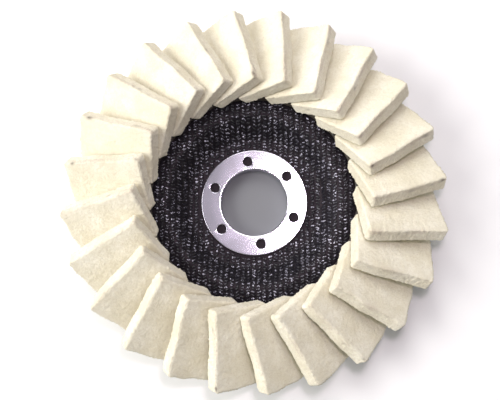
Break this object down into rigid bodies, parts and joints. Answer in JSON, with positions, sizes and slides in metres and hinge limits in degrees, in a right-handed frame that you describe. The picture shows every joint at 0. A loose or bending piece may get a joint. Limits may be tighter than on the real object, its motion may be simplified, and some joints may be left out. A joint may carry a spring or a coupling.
{
  "type": "felt polishing wheel",
  "caption": "Round polishing wheel of leaning wool-felt flaps bonded by their lower edges round a depressed-centre glass-fibre plate with a metal-lined bore.",
  "frame": {"origin": "centre of the bore on the hub's rear mounting face, which is the wheel's lowest plane", "axes": "+Z along the bore and out of the working face; +Y and +X in the plane of the wheel, with the first flap about +X and the rest counter-clockwise from it as seen from +Z"},
  "size_m": [0.1248, 0.1248, 0.0252],
  "materials": {
    "wool_felt": "pressed off-white wool felt, fibrous and fully matt",
    "glass_mesh": "black resin over a coarse woven glass mesh, glittering on the thread crowns",
    "resin_core": "moulded black resin",
    "adhesive": "cured dark resin, smooth, with a drawn-up fillet at each flap",
    "plated_metal": "bright zinc plating, satin from pressing",
    "label_paper": "plain uncoated label paper, blank"
  },
  "bodies": {
    "root": {"hub_ring": "plated_metal", "rear_washer": "plated_metal", "front_mesh_ply": "glass_mesh", "core_ply": "resin_core", "rear_mesh_ply": "glass_mesh", "adhesive_bed": "adhesive", "rear_label": "label_paper", "flap_01": "wool_felt", "flap_02": "wool_felt", "flap_03": "wool_felt", "flap_04": "wool_felt", "flap_05": "wool_felt", "flap_06": "wool_felt", "flap_07": "wool_felt", "flap_08": "wool_felt", "flap_09": "wool_felt", "flap_10": "wool_felt", "flap_11": "wool_felt", "flap_12": "wool_felt", "flap_13": "wool_felt", "flap_14": "wool_felt", "flap_15": "wool_felt", "flap_16": "wool_felt", "flap_17": "wool_felt", "flap_18": "wool_felt", "flap_19": "wool_felt", "flap_20": "wool_felt", "flap_21": "wool_felt", "flap_22": "wool_felt", "flap_23": "wool_felt", "flap_24": "wool_felt"}
  },
  "joints": []
}
